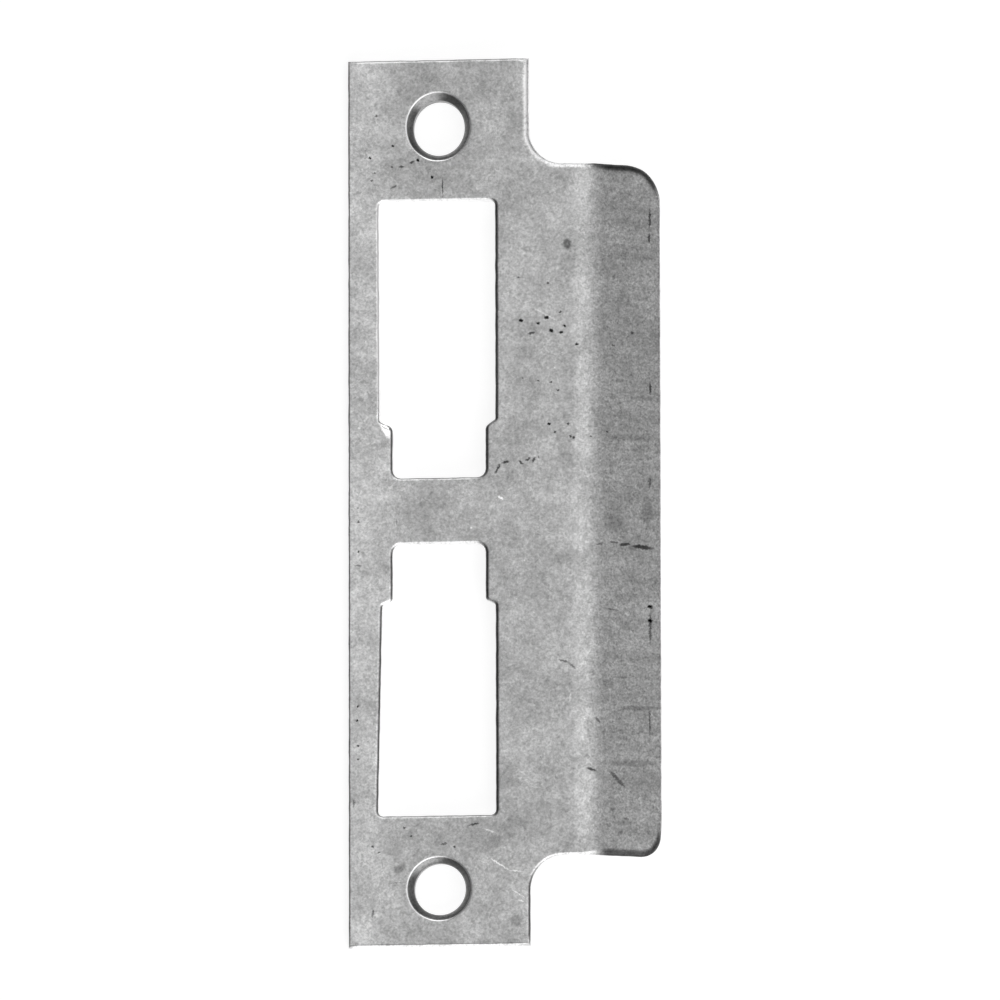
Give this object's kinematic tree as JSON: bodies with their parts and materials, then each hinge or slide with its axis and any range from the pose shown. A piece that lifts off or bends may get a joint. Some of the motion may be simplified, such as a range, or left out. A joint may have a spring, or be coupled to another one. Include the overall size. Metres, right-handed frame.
{
  "type": "door strike plate",
  "caption": "Flat pressed-steel strike plate for a mortise lock, with bolt and latch windows, countersunk screw holes and a lip bent back on one long side.",
  "frame": {"origin": "on the back face, midway between the two screw holes", "axes": "+X across the face towards the lip, +Y along the face towards the bolt window, +Z out of the front, countersunk face"},
  "size_m": [0.0485, 0.1397, 0.0083],
  "materials": {
    "steel": "dull mottled grey zinc-coated steel, worn, with fine pits and scratches"
  },
  "bodies": {
    "root": {"strike_plate": "steel"}
  },
  "joints": []
}
